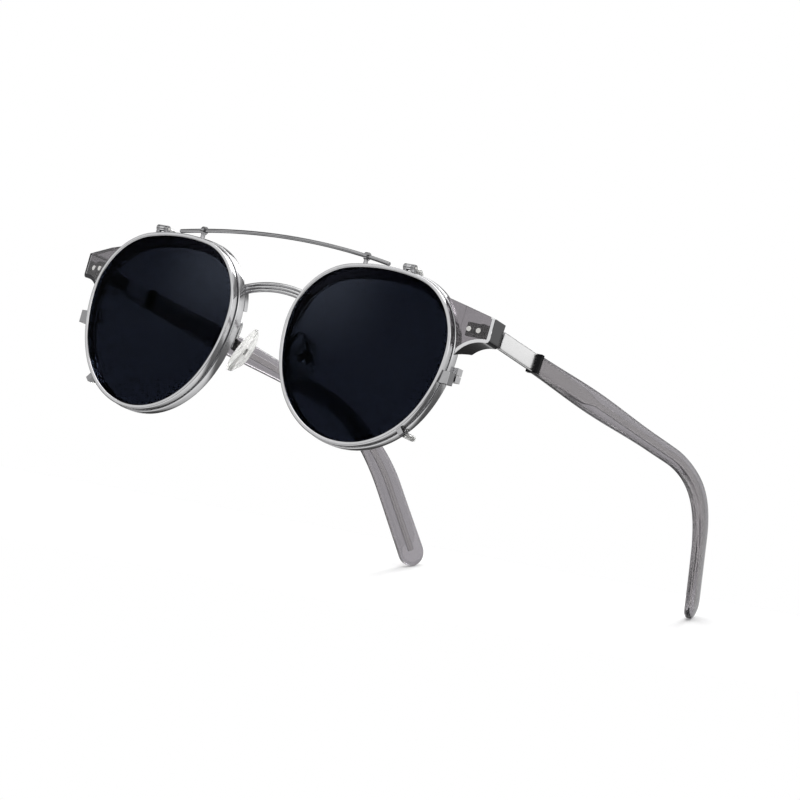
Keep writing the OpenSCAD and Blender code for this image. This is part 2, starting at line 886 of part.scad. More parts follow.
// The space of the flip rim and its lens
module flip_space() {
    lens_space(clip, clip_t + 0.02, clip_front - 2, clip_back + 5);
}

// Eyelet that stands on the flip rim and holds the bar
module eyelet(side) {
    color("silver")
        on_side(side)
            difference() {
                union() {
                    translate([eyelet_at - eyelet_l / 2, bar_y, eyelet_z])
                        rotate([0, 90, 0])
                            cylinder(r = bar_r + eyelet_t, h = eyelet_l, $fn = 48);
                    translate([eyelet_at, bar_y, eyelet_z - 2.4])
                        cylinder(r = 0.55, h = 1.6, $fn = 32);
                }
                top_bar_solid();
                flip_space();
            }
}

// Two barrels of the flip hinge on a foot that stands on the flip rim
flip_half = flip_mid_l / 2;

module flip_cylinder(x0, x1, r) {
    translate([flip_at + x0, flip_y, flip_h])
        rotate([0, 90, 0])
            cylinder(r = r, h = x1 - x0, $fn = 48);
}

module flip_barrels(side) {
    color("silver")
        on_side(side)
            difference() {
                for (m = [-1, 1])
                    translate([m > 0 ? flip_half + barrel_gap : -flip_half - barrel_gap - flip_out_l, 0, 0])
                        union() {
                            flip_cylinder(0, flip_out_l, flip_r);
                            translate([flip_at, flip_y - 0.5, flip_h - 2])
                                cube([flip_out_l, 1, 2]);
                        }
                flip_cylinder(-5, 5, flip_pin_r + pin_gap);
                flip_space();
            }
}

// Pin of the flip hinge, fast in the hook's barrel
module flip_pin(side) {
    color("white")
        on_side(side)
            flip_cylinder(-flip_half - barrel_gap - flip_out_l - 0.15, flip_half + barrel_gap + flip_out_l + 0.15,
                flip_pin_r);
}

// Hook on the frame: a barrel, an arm over the rim and a short leg behind it
hook_bend = 1.1;
hook_leg = 1.6;
hook_z = ring[3][1] + sqrt(pow(ring[3][2] + wire_t, 2) - pow(flip_at - lens_x, 2)) + tube_r + 0.03;
hook_y = (flip_at + tube_r - lens_x) * sin(wrap) + wire_back + tube_r + 0.02;

module hook_wire(r, y0) {
    translate([flip_at, y0, hook_z])
        rotate([-90, 0, 0])
            cylinder(r = r, h = hook_y - hook_bend - y0, $fn = 32);
    translate([flip_at, hook_y - hook_bend, hook_z - hook_bend])
        rotate([90, 0, 90])
            rotate_extrude(angle = 90, $fn = 96)
                translate([hook_bend, 0])
                    circle(r, $fn = 32);
    translate([flip_at, hook_y, hook_z - hook_bend - hook_leg])
        cylinder(r = r, h = hook_leg, $fn = 32);
}

module top_hook(side) {
    color("silver")
        on_side(side)
            difference() {
                union() {
                    flip_cylinder(-flip_half, flip_half, flip_r);
                    hook_wire(prong_r, flip_y + flip_pin_r);
                }
                flip_cylinder(-5, 5, flip_pin_r);
            }
}

module hook_tube(side) {
    color([0.95, 0.95, 0.95, 0.5])
        on_side(side)
            difference() {
                hook_wire(tube_r, flip_y + flip_r + 0.1);
                hook_wire(prong_r, flip_y);
            }
}

// Grip on the outer side of each flip rim, for the finger that lifts it
tab_h = 3.2;
tab_z = -1.6;

module finger_tab(side) {
    color("gainsboro")
        on_side(side)
            difference() {
                in_lens()
                    union() {
                        translate([ring_w / 2 - clip_inset, 0.3, tab_z - tab_h / 2])
                            cube([clip_t + 1.9, clip_back - 0.3, tab_h]);
                        translate([ring_w / 2 + wire_t + 0.3, clip_back - 0.2, tab_z - tab_h / 2])
                            cube([clip_t + 1.9 - clip_inset - wire_t - 0.3, 1.4, tab_h]);
                    }
                flip_space();
            }
}

// Lower prong: a block on the flip rim and a wire that runs back under the eyewire
prong_off = clip_inset + wire_t + 0.3 + tube_r;
prong_l = 4.9;

module at_prong() {
    in_lens()
        translate([clip[0][0], 0, clip[0][1]])
            rotate([0, -prong_a, 0])
                translate([clip[0][2], 0, 0])
                    children();
}

module lower_prong(side) {
    color("silver")
        on_side(side)
            difference() {
                at_prong() {
                    translate([clip_t - 0.3, 0, -0.7])
                        cube([prong_off - clip_t + 0.3 + prong_r, clip_back - 0.1, 1.4]);
                    translate([prong_off, clip_back - 0.6, 0])
                        rotate([-90, 0, 0])
                            cylinder(r = prong_r, h = prong_l, $fn = 32);
                }
                flip_space();
            }
}

module prong_tube(side) {
    color([0.95, 0.95, 0.95, 0.5])
        on_side(side)
            at_prong()
                translate([prong_off, 0, 0])
                    rotate([-90, 0, 0])
                        difference() {
                            union() {
                                translate([0, 0, clip_back - 0.1])
                                    cylinder(r = tube_r, h = prong_l - 0.6, $fn = 48);
                                translate([0, 0, clip_back - 0.7 + prong_l])
                                    sphere(tube_r, $fn = 48);
                            }
                            translate([0, 0, -1])
                                cylinder(r = prong_r, h = clip_back + 0.4 + prong_l, $fn = 32);
                        }
}

eyewire("left");  // left_eyewire
eyewire("right");  // right_eyewire
acetate_rim("left");  // left_acetate_rim
acetate_rim("right");  // right_acetate_rim
end_plate("left");  // left_end_plate
end_plate("right");  // right_end_plate
end_band("left");  // left_end_band
end_band("right");  // right_end_band
clear_lens("left");  // left_clear_lens
clear_lens("right");  // right_clear_lens
bridge();
rivets("left");  // left_rivets
rivets("right");  // right_rivets
front_hinge("left");  // left_front_hinge
front_hinge("right");  // right_front_hinge
hinge_screw("left");  // left_hinge_screw
hinge_screw("right");  // right_hinge_screw
pad_arm("left");  // left_pad_arm
pad_arm("right");  // right_pad_arm
top_hook("left");  // left_top_hook
top_hook("right");  // right_top_hook
hook_tube("left");  // left_hook_tube
hook_tube("right");  // right_hook_tube
flip_pin("left");  // left_flip_pin
flip_pin("right");  // right_flip_pin
temple_core("left");  // left_temple_core
temple_core("right");  // right_temple_core
temple_hinge("left");  // left_temple_hinge
temple_hinge("right");  // right_temple_hinge
temple_sleeve("left");  // left_temple_sleeve
temple_sleeve("right");  // right_temple_sleeve
temple_collar("left");  // left_temple_collar
temple_collar("right");  // right_temple_collar
flip_rim("left");  // left_flip_rim
flip_rim("right");  // right_flip_rim
dark_lens("left");  // left_dark_lens
dark_lens("right");  // right_dark_lens
top_bar();
eyelet("left");  // left_eyelet
eyelet("right");  // right_eyelet
flip_barrels("left");  // left_flip_barrels
flip_barrels("right");  // right_flip_barrels
finger_tab("left");  // left_finger_tab
finger_tab("right");  // right_finger_tab
lower_prong("left");  // left_lower_prong
lower_prong("right");  // right_lower_prong
prong_tube("left");  // left_prong_tube
prong_tube("right");  // right_prong_tube
nose_pad("left");  // left_nose_pad
nose_pad("right");  // right_nose_pad
pad_box("left");  // left_pad_box
pad_box("right");  // right_pad_box
pad_pin("left");  // left_pad_pin
pad_pin("right");  // right_pad_pin
rim_lock("left");  // left_rim_lock
rim_lock("right");  // right_rim_lock
rim_screw("left");  // left_rim_screw
rim_screw("right");  // right_rim_screw
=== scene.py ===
import json
from math import atan2, ceil, copysign, cos, pi, radians, sin, sqrt

import bmesh
import bpy
from mathutils import Euler, Matrix, Vector


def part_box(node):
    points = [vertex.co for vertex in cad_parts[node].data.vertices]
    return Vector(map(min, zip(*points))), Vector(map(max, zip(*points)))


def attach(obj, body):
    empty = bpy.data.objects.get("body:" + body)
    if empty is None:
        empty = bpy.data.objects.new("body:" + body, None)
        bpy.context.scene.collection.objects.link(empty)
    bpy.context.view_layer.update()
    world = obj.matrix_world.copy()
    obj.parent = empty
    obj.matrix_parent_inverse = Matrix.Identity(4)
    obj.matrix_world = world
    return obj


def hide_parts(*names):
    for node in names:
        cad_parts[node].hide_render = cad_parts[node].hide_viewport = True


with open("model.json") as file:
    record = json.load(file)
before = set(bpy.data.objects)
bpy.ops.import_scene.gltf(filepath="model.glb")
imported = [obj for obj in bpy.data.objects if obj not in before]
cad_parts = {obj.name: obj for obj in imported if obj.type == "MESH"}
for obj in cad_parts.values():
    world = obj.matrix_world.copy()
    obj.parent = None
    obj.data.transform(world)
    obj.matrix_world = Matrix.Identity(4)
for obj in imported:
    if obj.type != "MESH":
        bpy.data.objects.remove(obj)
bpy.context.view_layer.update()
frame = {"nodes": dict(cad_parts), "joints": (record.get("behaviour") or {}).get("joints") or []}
nodes = frame["nodes"]
joints = {j["name"]: j for j in frame["joints"]}


# Metal eyewires. Each is a band of drawn nickel-silver wire, bent round its lens and closed
# by the block behind it. Polished bright, with its edges worn round.
# Sizes are in millimetres, and MM turns them into metres.
MM = 0.001
BRIDGE_GAP = 20.2
EYE_W = 48.0
EYE_H = 41.6
RIM_SIDE = 0.5
RIM_TOP = 2.5
RIM_LOW = 0.75
CORNER_R = 17.5
LOW_A = 30
TOP_A = 79
WIRE_T = 0.9
WIRE_EDGE = 0.28
WIRE_FRONT = 1.85
WIRE_BACK = 4.15
WRAP = radians(4.2)
TOE_IN = radians(4.35)
TEMPLE_DROP = radians(4.6)
FLIP_AXIS = Vector((0.0, 0.97, 23.75)) * MM
ARC_STEP = 2.0
EDGE_STEPS = 4
MESH_WELD = 1e-7
SMUDGE_RATIO = 0.15

ring_w = EYE_W + 2 * RIM_SIDE
ring_h = EYE_H + RIM_TOP + RIM_LOW
lens_x = (EYE_W + BRIDGE_GAP) / 2

# The front leans over the table as the hinges of the frame say, and sits where the flip hinge is
fold_axis = Vector(joints["left_temple_fold"]["axis"])
lean = atan2(cos(TOE_IN) * sin(TEMPLE_DROP), cos(TEMPLE_DROP)) - atan2(fold_axis.y, fold_axis.z)
front_turn = Matrix.Rotation(lean, 4, "X")
front_place = Matrix.Translation(Vector(joints["flip_up"]["pos_m"]) - front_turn @ FLIP_AXIS) @ front_turn
lens_place = front_place @ Matrix.Translation((lens_x * MM, 0, 0)) @ Matrix.Rotation(WRAP, 4, "Z")


def lens_arcs(width, height, corner):
    """The lens shape as six tangent arcs: centre, radius, first and last angle in degrees."""
    c_low, s_low = cos(radians(-LOW_A)), sin(radians(-LOW_A))
    c_top, s_top = cos(radians(TOP_A)), sin(radians(TOP_A))
    top = (width / 2 - corner * (1 - c_top)) / c_top
    k = height - corner * s_top - (1 - s_top) * top
    low = (k + s_low * (width / 2) / (1 - c_low)) / (1 + s_low + s_low * c_low / (1 - c_low))
    side = (width / 2 - c_low * low) / (1 - c_low)
    low_z = low - height / 2
    side_x, side_z = (low - side) * c_low, low_z + (low - side) * s_low
    corner_x, top_z = side_x + side - corner, side_z + (corner - top) * s_top
    return [(0, low_z, low, LOW_A - 180, -LOW_A),
            (side_x, side_z, side, -LOW_A, 0),
            (corner_x, side_z, corner, 0, TOP_A),
            (0, top_z, top, TOP_A, 180 - TOP_A),
            (-corner_x, side_z, corner, 180 - TOP_A, 180),
            (-side_x, side_z, side, 180, 180 + LOW_A)]


def outline(arcs):
    """Points (x, z) round the lens shape, each with its outward direction."""
    points = []
    for x, z, r, first, last in arcs:
        n = ceil((last - first) / ARC_STEP)
        for i in range(n):
            a = radians(first + (last - first) * i / n)
            points.append((x + r * cos(a), z + r * sin(a), cos(a), sin(a)))
    return points


def rounded_bar(width, depth_low, depth_high, edge):
    """Cross-section of a flat bar: (distance outwards, depth), with rounded edges."""
    corners = [(width - edge, depth_low + edge, -90), (width - edge, depth_high - edge, 0),
               (edge, depth_high - edge, 90), (edge, depth_low + edge, 180)]
    turns = [90 * k / EDGE_STEPS for k in range(EDGE_STEPS + 1)]
    return [(x + edge * cos(radians(a + turn)), y + edge * sin(radians(a + turn)))
            for x, y, a in corners for turn in turns]


def both_sides(make):
    """Makes a piece for the wearer's left, and its mirror image for the right."""
    for side, sign in (("left", 1), ("right", -1)):
        make(side, Matrix.Diagonal((sign, 1, 1, 1)))


def make_piece(name, verts, faces, place, material, smooth=radians(40)):
    """A mesh from points in millimetres, placed in the row frame, its faces turned outwards."""
    mesh = bpy.data.meshes.new(name)
    mesh.from_pydata([Vector(v) * MM for v in verts], [], faces)
    mesh.transform(place)
    bm = bmesh.new()
    bm.from_mesh(mesh)
    bmesh.ops.remove_doubles(bm, verts=bm.verts, dist=MESH_WELD)
    bmesh.ops.recalc_face_normals(bm, faces=bm.faces)
    bm.to_mesh(mesh)
    bm.free()
    mesh.shade_smooth()
    mesh.set_sharp_from_angle(angle=smooth)
    mesh.materials.append(material)
    obj = bpy.data.objects.new(name.replace(" ", "-"), mesh)
    bpy.context.collection.objects.link(obj)
    return obj


def closed_band(arcs, section):
    """Points and faces of a section carried round a closed outline."""
    path = outline(arcs)
    verts = [(x + nx * out, depth, z + nz * out) for x, z, nx, nz in path for out, depth in section]
    m, n = len(path), len(section)
    faces = [(i * n + k, i * n + (k + 1) % n, (i + 1) % m * n + (k + 1) % n, (i + 1) % m * n + k)
             for i in range(m) for k in range(n)]
    return verts, faces


def feed(tree, socket, value):
    """Links a node's input to another node's output, or sets it to a plain value."""
    if isinstance(value, bpy.types.NodeSocket):
        tree.links.new(value, socket)
    else:
        socket.default_value = value


def maths(tree, operation, first, second=0.0, clamp=False):
    """The output of a maths node."""
    node = tree.nodes.new("ShaderNodeMath")
    node.operation = operation
    node.use_clamp = clamp
    feed(tree, node.inputs[0], first)
    feed(tree, node.inputs[1], second)
    return node.outputs[0]


def mapped(tree, value, source, target, kind="LINEAR"):
    """A value carried from one range to another."""
    node = tree.nodes.new("ShaderNodeMapRange")
    node.interpolation_type = kind
    node.inputs["From Min"].default_value, node.inputs["From Max"].default_value = source
    node.inputs["To Min"].default_value, node.inputs["To Max"].default_value = target
    feed(tree, node.inputs["Value"], value)
    return node.outputs["Result"]


def blended(tree, factor, first, second):
    """A colour between two others."""
    node = tree.nodes.new("ShaderNodeMix")
    node.data_type = "RGBA"
    for index, value in ((0, factor), (6, first), (7, second)):
        feed(tree, node.inputs[index], value)
    return node.outputs[2]


def holding(tree, group):
    """A node that holds a node group."""
    node = tree.nodes.new("ShaderNodeGroup")
    node.node_tree = group
    return node


def surface_wear():
    """Node group: a mask of faint streaks and smudges, as handling leaves on a polished surface."""
    group = bpy.data.node_groups.new("handling marks", "ShaderNodeTree")
    group.interface.new_socket("Scale", in_out="INPUT", socket_type="NodeSocketFloat")
    group.interface.new_socket("Mask", in_out="OUTPUT", socket_type="NodeSocketFloat")
    streak_size = group.nodes.new("NodeGroupInput").outputs["Scale"]
    smudge_size = maths(group, "MULTIPLY", streak_size, SMUDGE_RATIO)
    coord = group.nodes.new("ShaderNodeTexCoord")
    layers = []
    for size, detail in ((streak_size, 3.0), (smudge_size, 2.0)):
        noise = group.nodes.new("ShaderNodeTexNoise")
        noise.inputs["Detail"].default_value = detail
        group.links.new(coord.outputs["Object"], noise.inputs["Vector"])
        group.links.new(size, noise.inputs["Scale"])
        layers.append(noise.outputs["Fac"])
    result = group.nodes.new("NodeGroupOutput")
    group.links.new(maths(group, "MULTIPLY", *layers), result.inputs["Mask"])
    return group


handling_marks = surface_wear()
MARKS_RANGE = (0.1, 0.45)
# Colour of the painted shade along edges turned away from the eye
PAINTED_EDGE_SHADE = (0.01, 0.01, 0.012, 1)


def finish(name, colour, rough, spread, marks, metallic=0.0, transmission=0.0, ior=1.5, tint=0.0,
           edge=0.0, turned=(0.45, 0.85)):
    """A material. Handling marks of the scale marks add up to spread to its roughness and darken its
    colour by up to tint. edge is painted shade: it darkens the colour by up to edge where the surface
    turns away from the eye, over the range turned, for dark reflections and shade along its edges."""
    material = bpy.data.materials.new(name)
    material.use_nodes = True
    tree = material.node_tree
    shader = tree.nodes["Principled BSDF"]
    shader.inputs["Metallic"].default_value = metallic
    shader.inputs["Transmission Weight"].default_value = transmission
    shader.inputs["IOR"].default_value = ior
    wear = holding(tree, handling_marks)
    wear.inputs["Scale"].default_value = marks
    mask = wear.outputs["Mask"]
    # Painted shade: the colour goes towards black where the surface turns away from the eye, standing in
    # for the dark reflections and shade along its edges.
    weight = tree.nodes.new("ShaderNodeLayerWeight")
    weight.inputs["Blend"].default_value = 0.5
    shade = blended(tree, mask, (*colour, 1), (*[c * (1 - tint) for c in colour], 1))
    away = mapped(tree, weight.outputs["Facing"], turned, (0.0, edge))
    roughness = mapped(tree, mask, MARKS_RANGE, (rough, rough + spread))
    tree.links.new(roughness, shader.inputs["Roughness"])
    tree.links.new(blended(tree, away, shade, PAINTED_EDGE_SHADE), shader.inputs["Base Color"])
    return material


polished_metal = finish("polished nickel silver", (0.66, 0.66, 0.67), rough=0.08, spread=0.12, marks=900.0,
                        metallic=1.0, tint=0.25, edge=0.95, turned=(0.3, 0.75))
rim_arcs = lens_arcs(ring_w, ring_h, CORNER_R)


def eyewire(side, mirror):
    verts, faces = closed_band(rim_arcs, rounded_bar(WIRE_T, WIRE_FRONT, WIRE_BACK, WIRE_EDGE))
    piece = make_piece(side + " eyewire", verts, faces, mirror @ lens_place, polished_metal)
    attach(piece, "front")
    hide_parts(side + "_eyewire")


both_sides(eyewire)


# Clear lenses. Each is a thin curved disc of optical plastic, snapped into the groove of the
# acetate rim. Clean and nearly invisible except for its gloss.
LENS_R = 200.0
LENS_RINGS = 20
CLEAR_T = 1.3
LENS_SEAT = 0.15
SEAT_GAP = 0.01
EYE_CORNER_R = CORNER_R - 1
EYE_EDGE_R = EYE_W / 2 - 1
eye_z = (RIM_LOW - RIM_TOP) / 2


def lens_disc(arcs, grow, z, thick, edge_y, edge_r):
    """Points and faces of a lens: curved front and back, and the edge between them. Its front
    stands at the depth edge_y where it is edge_r from the middle."""
    apex = edge_y - (LENS_R - sqrt(LENS_R ** 2 - edge_r ** 2))
    rim = [(x + nx * grow, v + nz * grow) for x, v, nx, nz in outline(arcs)]
    n = len(rim)
    verts, faces = [], []
    for back in (0, 1):
        base = len(verts)
        radius = LENS_R - thick * back
        for i in range(1, LENS_RINGS + 1):
            for x, v in rim:
                u, w = x * i / LENS_RINGS, v * i / LENS_RINGS
                verts.append((u, apex + LENS_R - sqrt(radius ** 2 - u * u - w * w), w + z))
        verts.append((0, apex + thick * back, z))
        for i in range(LENS_RINGS - 1):
            for k in range(n):
                a, b = base + i * n + k, base + i * n + (k + 1) % n
                faces.append((a, b, b + n, a + n))
        faces += [(base + LENS_RINGS * n, base + (k + 1) % n, base + k) for k in range(n)]
    first, second = (LENS_RINGS - 1) * n, LENS_RINGS * n + 1 + (LENS_RINGS - 1) * n
    faces += [(first + k, first + (k + 1) % n, second + (k + 1) % n, second + k) for k in range(n)]
    return verts, faces


clear_plastic = finish("clear lens plastic", (0.97, 0.985, 0.99), rough=0.0, spread=0.004, marks=300.0,
                       transmission=1.0, ior=1.4, tint=0.02)
eye_arcs = lens_arcs(EYE_W, EYE_H, EYE_CORNER_R)


def clear_lens(side, mirror):
    edge_y = (WIRE_FRONT + WIRE_BACK) / 2 - CLEAR_T / 2
    verts, faces = lens_disc(eye_arcs, LENS_SEAT - SEAT_GAP, eye_z, CLEAR_T, edge_y, EYE_EDGE_R)
    piece = make_piece(side + " clear lens", verts, faces, mirror @ lens_place, clear_plastic)
    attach(piece, "front")
    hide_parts(side + "_clear_lens")


both_sides(clear_lens)


# Grey acetate: the thin rim inside each eyewire and the plate of each end piece. Cut from sheet,
# tumbled smooth and polished, see-through smoke grey with faint clouds in it.
CAD_WELD = 2e-7
FLAT_A = radians(0.6)
BEVEL_A = radians(40)
grey_acetate = finish("smoke grey acetate", (0.27, 0.25, 0.27), rough=0.05, spread=0.08, marks=220.0,
                      transmission=0.9, ior=1.49, tint=0.35, edge=0.95, turned=(0.3, 0.62))


def from_cad(node, material, body, bevel=0.0, smooth=radians(30), name=None):
    """A welded copy of a CAD node, with its sharp edges rounded; it takes the node's name."""
    name = name or node.replace("_", " ")
    mesh = nodes[node].data.copy()
    mesh.name = name
    mesh.materials.clear()
    mesh.materials.append(material)
    bm = bmesh.new()
    bm.from_mesh(mesh)
    bmesh.ops.remove_doubles(bm, verts=bm.verts, dist=CAD_WELD)
    bmesh.ops.dissolve_limit(bm, angle_limit=FLAT_A, verts=bm.verts, edges=bm.edges)
    bm.to_mesh(mesh)
    bm.free()
    mesh.shade_smooth()
    mesh.set_sharp_from_angle(angle=smooth)
    for polygon in mesh.polygons:
        polygon.material_index = 0
    obj = bpy.data.objects.new(name.replace(" ", "-"), mesh)
    bpy.context.collection.objects.link(obj)
    if bevel:
        edge = obj.modifiers.new("worn edge", "BEVEL")
        edge.width = bevel * MM
        edge.segments = 2
        edge.limit_method = "ANGLE"
        edge.angle_limit = BEVEL_A
        edge.harden_normals = True
        worn = obj.evaluated_get(bpy.context.evaluated_depsgraph_get())
        obj.data = bpy.data.meshes.new_from_object(worn)
        obj.modifiers.clear()
    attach(obj, body)
    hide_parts(node)


for side in ("left", "right"):
    from_cad(side + "_acetate_rim", grey_acetate, "front")
    from_cad(side + "_end_plate", grey_acetate, "front", bevel=0.12)


# End bands, bridge and hooks. Bright metal: a bent strip round each end piece, a shade lighter than
# the rims, a beaded bridge soldered behind the rims, and a hook over the top of each rim.
# Painted shade sets in early on the end strips, so that their sides, turned from the eye, come out nearly
# black.
band_metal = finish("bright end strip", (0.78, 0.78, 0.79), rough=0.08, spread=0.1, marks=900.0,
                    metallic=1.0, tint=0.2, edge=0.97, turned=(0.28, 0.46))
for side in ("left", "right"):
    from_cad(side + "_end_band", band_metal, "front", bevel=0.12)
    from_cad(side + "_top_hook", polished_metal, "front", bevel=0.05)
from_cad("bridge", polished_metal, "front", bevel=0.06, name="nose bridge")


# Nose pads on their arms. Each pad is soft clear silicone with a domed face, held in a small
# dark steel box by a pin; the arm is round wire soldered to the eyewire.
clear_silicone = finish("clear silicone", (0.93, 0.93, 0.91), rough=0.16, spread=0.12, marks=500.0,
                        transmission=0.9, ior=1.41, tint=0.06)
steel = finish("plain steel", (0.13, 0.125, 0.12), rough=0.22, spread=0.15, marks=1200.0,
               metallic=1.0, tint=0.3, edge=0.9, turned=(0.3, 0.7))
for side in ("left", "right"):
    from_cad(side + "_nose_pad", clear_silicone, side + "_pad", bevel=0.2)
    from_cad(side + "_pad_arm", polished_metal, "front", smooth=radians(60))
    from_cad(side + "_pad_box", steel, "front", bevel=0.08)
    from_cad(side + "_pad_pin", steel, "front", bevel=0.05)


# Temple hinges and small fixings: turned barrels on riveted leaves and slotted screws in dark
# steel, bright rivets and pins, and the blocks that close the eyewires, polished like the rims.
rivet_steel = finish("bright rivet steel", (0.72, 0.71, 0.69), rough=0.16, spread=0.12, marks=1500.0,
                     metallic=1.0, tint=0.25, edge=0.6)
for side in ("left", "right"):
    for part, material, body, slot in (("front_hinge", steel, "front", "hinge_metal"),
                                       ("hinge_screw", steel, "front", "hinge_metal"),
                                       ("rivets", rivet_steel, "front", "rivet_metal"),
                                       ("rim_lock", polished_metal, "front", "hinge_metal"),
                                       ("rim_screw", rivet_steel, "front", "rivet_metal"),
                                       ("flip_pin", rivet_steel, "front", "rivet_metal"),
                                       ("temple_hinge", steel, side + "_temple", "hinge_metal")):
        from_cad(side + "_" + part, material, body, bevel=0.05)


# Temples. A flat metal bar runs bare from the hinge, then narrows to a blade and a wire that
# show through the grey acetate moulded over them. A glossy black collar hides the joint.
TEMPLE_X = 65.33
TEMPLE_Y = 12.9
TEMPLE_Z = 11.4
STRAIGHT_L = 86.3
BEND_R = 40.8
BEND_A = 49.4
TIP_L = 21.2
TIP_LEAN = 0.23
LEAN_EASE = 60
BAR_L = 16.0
BAR_H = 4.6
BAR_T = 1.3
BLADE_T = 1.1
CORE_WIRE = 1.5
CORE_SHORT = 4
CORE_SQUARE = 0.35
CORE_POINTS = 24
BLADE_AT = BAR_L + 3
COLLAR_L = 1.1
SLEEVE_H = 6.0
SLEEVE_T = 3.6
SLEEVE_SQUARE = 0.6
SLEEVE_POINTS = 40
FULL_AT = BAR_L + 29
TIP_H = 7.2
TIP_FLAT = 0.4
TIP_END = 0.002
TIP_STEP = 6
BAR_STEPS = 8
TEMPLE_STEPS = 90
bend_l = BEND_R * radians(BEND_A)
temple_l = STRAIGHT_L + bend_l + TIP_L
temple_place = (front_place @ Matrix.Translation(Vector((TEMPLE_X, TEMPLE_Y, TEMPLE_Z)) * MM)
                @ Matrix.Rotation(TOE_IN, 4, "Z") @ Matrix.Rotation(-TEMPLE_DROP, 4, "X"))


def temple_point(s):
    """The temple's middle line in its own frame, by the length along it. It leans inwards at the bend."""
    a = radians(min(BEND_A, max(0.0, (s - STRAIGHT_L) / bend_l * BEND_A)))
    over = max(0.0, s - STRAIGHT_L - bend_l)
    d = s - STRAIGHT_L - bend_l / 2
    return Vector((-TIP_LEAN * (d + sqrt(d * d + LEAN_EASE)) / 2,
                   min(s, STRAIGHT_L) + BEND_R * sin(a) + over * cos(a),
                   -BEND_R * (1 - cos(a)) - over * sin(a)))


def blend_at(s, table):
    """A size along the temple, eased between the stations of a table."""
    if s <= table[0][0]:
        return table[0][1]
    for (a, low), (b, high) in zip(table, table[1:]):
        if s <= b:
            t = (s - a) / (b - a)
            return low + (high - low) * t * t * (3 - 2 * t)
    return table[-1][1]


def swept(path, sections, n):
    """Points and faces of a bar along a path; a section is (width, height, squareness)."""
    verts = []
    for i, point in enumerate(path):
        along = (path[min(i + 1, len(path) - 1)] - path[max(i - 1, 0)]).normalized()
        across = along.cross(Vector((0, 0, 1))).normalized()
        up = across.cross(along)
        width, height, q = sections[i]
        for k in range(n):
            c, s = cos(2 * pi * k / n), sin(2 * pi * k / n)
            verts.append(point + across * width / 2 * copysign(abs(c) ** q, c)
                         + up * height / 2 * copysign(abs(s) ** q, s))
    last = (len(path) - 1) * n
    faces = [(i * n + k, i * n + (k + 1) % n, (i + 1) * n + (k + 1) % n, (i + 1) * n + k)
             for i in range(len(path) - 1) for k in range(n)]
    faces += [tuple(range(n)), tuple(range(last, last + n))]
    return verts, faces


sleeve_acetate = finish("clear grey acetate", (0.30, 0.285, 0.305), rough=0.05, spread=0.08, marks=160.0,
                        transmission=0.96, ior=1.38, tint=0.2, edge=0.97, turned=(0.42, 0.78))
core_metal = finish("spring metal in acetate", (0.92, 0.91, 0.88), rough=0.12, spread=0.05, marks=200.0,
                    metallic=1.0, tint=0.1, edge=0.97, turned=(0.45, 0.7))
bar_metal = finish("brushed temple bar", (0.86, 0.86, 0.86), rough=0.2, spread=0.1, marks=1400.0,
                   metallic=1.0, tint=0.1, edge=0.9, turned=(0.5, 0.85))

# Stations along the temple: (length from the hinge, height or width there)
core_heights = [(BAR_L, BAR_H), (BLADE_AT, BAR_H - 1.2), (BAR_L + 24, BAR_H - 1.5), (BAR_L + 31, CORE_WIRE)]
core_widths = [(BAR_L, BAR_T), (BLADE_AT, BLADE_T)]
sleeve_heights = [(BAR_L, 4.9), (FULL_AT, SLEEVE_H), (STRAIGHT_L - 10, SLEEVE_H - 1.4),
                  (STRAIGHT_L + 8, SLEEVE_H - 1.6), (STRAIGHT_L + bend_l, TIP_H - 0.4), (temple_l, TIP_H)]
sleeve_widths = [(BAR_L, SLEEVE_T - 0.2), (FULL_AT, SLEEVE_T), (STRAIGHT_L, SLEEVE_T - 0.6),
                 (temple_l, SLEEVE_T - 1)]


def temple_core(side, mirror):
    hidden_l = temple_l - CORE_SHORT - BAR_L
    steps = [BAR_L * i / BAR_STEPS for i in range(BAR_STEPS + 1)]
    steps += [BAR_L + hidden_l * i / TEMPLE_STEPS for i in range(1, TEMPLE_STEPS + 1)]
    sections = [(blend_at(s, core_widths), blend_at(s, core_heights), CORE_SQUARE) for s in steps]
    verts, faces = swept([temple_point(s) for s in steps], sections, CORE_POINTS)
    piece = make_piece(side + " temple core", verts, faces, mirror @ temple_place, bar_metal, radians(35))
    piece.data.materials.append(core_metal)
    covered = (temple_place @ (temple_point(BAR_L + COLLAR_L) * MM)).y
    for polygon in piece.data.polygons:
        polygon.material_index = int(polygon.center.y > covered)
    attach(piece, side + "_temple")
    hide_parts(side + "_temple_core")


def temple_sleeve(side, mirror):
    start, tip = BAR_L + COLLAR_L, TIP_H / 2
    steps = [start + (temple_l - tip - start) * i / TEMPLE_STEPS for i in range(TEMPLE_STEPS + 1)]
    steps += [temple_l - tip + tip * sin(radians(a)) for a in range(TIP_STEP, 91, TIP_STEP)]
    sections = []
    for s in steps:
        f = 1.0 if s < temple_l - tip else sqrt(max(TIP_END, 1 - ((s - temple_l + tip) / tip) ** 2))
        sections.append((blend_at(s, sleeve_widths) * (TIP_FLAT + (1 - TIP_FLAT) * f),
                         blend_at(s, sleeve_heights) * f, SLEEVE_SQUARE))
    verts, faces = swept([temple_point(s) for s in steps], sections, SLEEVE_POINTS)
    piece = make_piece(side + " temple sleeve", verts, faces, mirror @ temple_place, sleeve_acetate,
                       radians(50))
    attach(piece, side + "_temple")
    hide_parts(side + "_temple_sleeve")


both_sides(temple_core)
both_sides(temple_sleeve)
black_gloss = finish("black gloss", (0.006, 0.006, 0.007), rough=0.12, spread=0.1, marks=400.0,
                     ior=1.15, tint=0.2)
for side in ("left", "right"):
    from_cad(side + "_temple_collar", black_gloss, side + "_temple", bevel=0.15)


